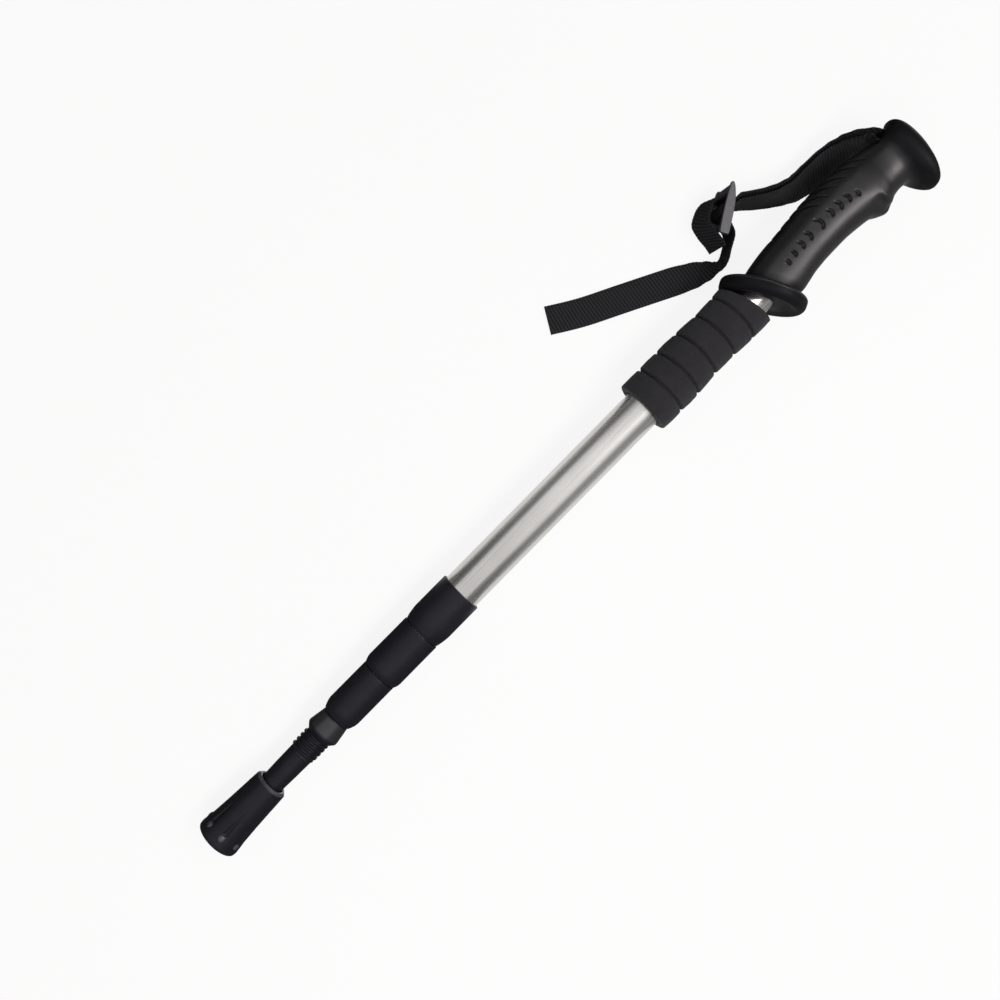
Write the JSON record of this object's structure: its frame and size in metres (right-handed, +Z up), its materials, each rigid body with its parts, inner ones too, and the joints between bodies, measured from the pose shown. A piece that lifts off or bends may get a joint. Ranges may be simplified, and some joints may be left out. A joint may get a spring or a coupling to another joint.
{
  "type": "telescopic walking stick",
  "caption": "Collapsed telescopic walking stick with twist locks, shaped grip and hand flange, foam sleeve, adjustable wrist strap and push-on rubber foot.",
  "frame": {"origin": "middle of the footprint, on the floor that the stick lies on", "axes": "+X along the shaft towards the grip, +Y towards the wrist strap, +Z up; the shaft rises 1.58 degrees towards the grip"},
  "size_m": [0.4826, 0.0964, 0.0433],
  "materials": {
    "aluminium_tube": "satin brushed tube",
    "dark_plastic": "moulded, fine lengthwise sheen",
    "rubber": "smooth moulded rubber",
    "grip_rubber": "satin moulded grip",
    "foam": "closed-cell foam, matte",
    "webbing": "woven polyester webbing",
    "buckle_plastic": "moulded acetal",
    "steel": "zinc plated",
    "nylon": "natural nylon",
    "carbide": "sintered carbide"
  },
  "bodies": {
    "handle": {"grip": "grip_rubber", "strap_pin": "steel", "upper_tube": "aluminium_tube", "foam_sleeve": "foam", "upper_sheath": "dark_plastic"},
    "second_lock": {"second_expander": "nylon"},
    "second_nut": {"second_cone_nut": "steel"},
    "second_section": {"second_tube": "aluminium_tube", "second_sheath": "dark_plastic", "second_end_plug": "nylon", "second_stud": "steel", "second_stop_ring": "steel"},
    "third_lock": {"third_expander": "nylon"},
    "third_nut": {"third_cone_nut": "steel"},
    "third_section": {"third_tube": "aluminium_tube", "third_sheath": "dark_plastic", "third_end_plug": "nylon", "third_stud": "steel", "third_stop_ring": "steel"},
    "lower_lock": {"lower_expander": "nylon"},
    "lower_nut": {"lower_cone_nut": "steel"},
    "lower_section": {"lower_tube": "aluminium_tube", "lower_end_plug": "nylon", "lower_stud": "steel", "lower_stop_ring": "steel", "tip_ferrule": "dark_plastic", "carbide_tip": "carbide"},
    "foot": {"rubber_foot": "rubber", "foot_washer": "steel"},
    "strap": {"strap_webbing": "webbing", "strap_buckle": "buckle_plastic"}
  },
  "joints": [
    {"name": "second_extend", "type": "slide", "parent": "handle", "child": "second_lock", "axis": [-0.9996, 0, -0.0276], "range_m": [0, 0.22]},
    {"name": "second_twist", "type": "hinge", "parent": "second_lock", "child": "second_section", "pos_m": [0, -0.02274, 0.01796], "axis": [0.9996, 0, 0.0276], "range_deg": [0, 540]},
    {"name": "second_nut_travel", "type": "slide", "parent": "second_lock", "child": "second_nut", "axis": [-0.9996, 0, -0.0276], "range_m": [0, 0.0015]},
    {"name": "third_extend", "type": "slide", "parent": "second_section", "child": "third_lock", "axis": [-0.9996, 0, -0.0276], "range_m": [0, 0.2]},
    {"name": "third_twist", "type": "hinge", "parent": "third_lock", "child": "third_section", "pos_m": [0, -0.02274, 0.01796], "axis": [0.9996, 0, 0.0276], "range_deg": [0, 540]},
    {"name": "third_nut_travel", "type": "slide", "parent": "third_lock", "child": "third_nut", "axis": [-0.9996, 0, -0.0276], "range_m": [0, 0.0015]},
    {"name": "lower_extend", "type": "slide", "parent": "third_section", "child": "lower_lock", "axis": [-0.9996, 0, -0.0276], "range_m": [0, 0.185]},
    {"name": "lower_twist", "type": "hinge", "parent": "lower_lock", "child": "lower_section", "pos_m": [0, -0.02274, 0.01796], "axis": [0.9996, 0, 0.0276], "range_deg": [0, 540]},
    {"name": "lower_nut_travel", "type": "slide", "parent": "lower_lock", "child": "lower_nut", "axis": [-0.9996, 0, -0.0276], "range_m": [0, 0.0015]},
    {"name": "foot_pull", "type": "slide", "parent": "lower_section", "child": "foot", "axis": [-0.9996, 0, -0.0276], "range_m": [0, 0.036]},
    {"name": "strap_swing", "type": "hinge", "parent": "handle", "child": "strap", "pos_m": [0.22941, -0.01574, 0.02428], "axis": [0.0276, 0, -0.9996], "range_deg": [0, 40]}
  ],
  "couplings": [
    {"joint": "second_nut_travel", "follows": "second_twist", "m_per_rad": 0.00015915},
    {"joint": "third_nut_travel", "follows": "third_twist", "m_per_rad": 0.00015915},
    {"joint": "lower_nut_travel", "follows": "lower_twist", "m_per_rad": 0.00015915}
  ]
}
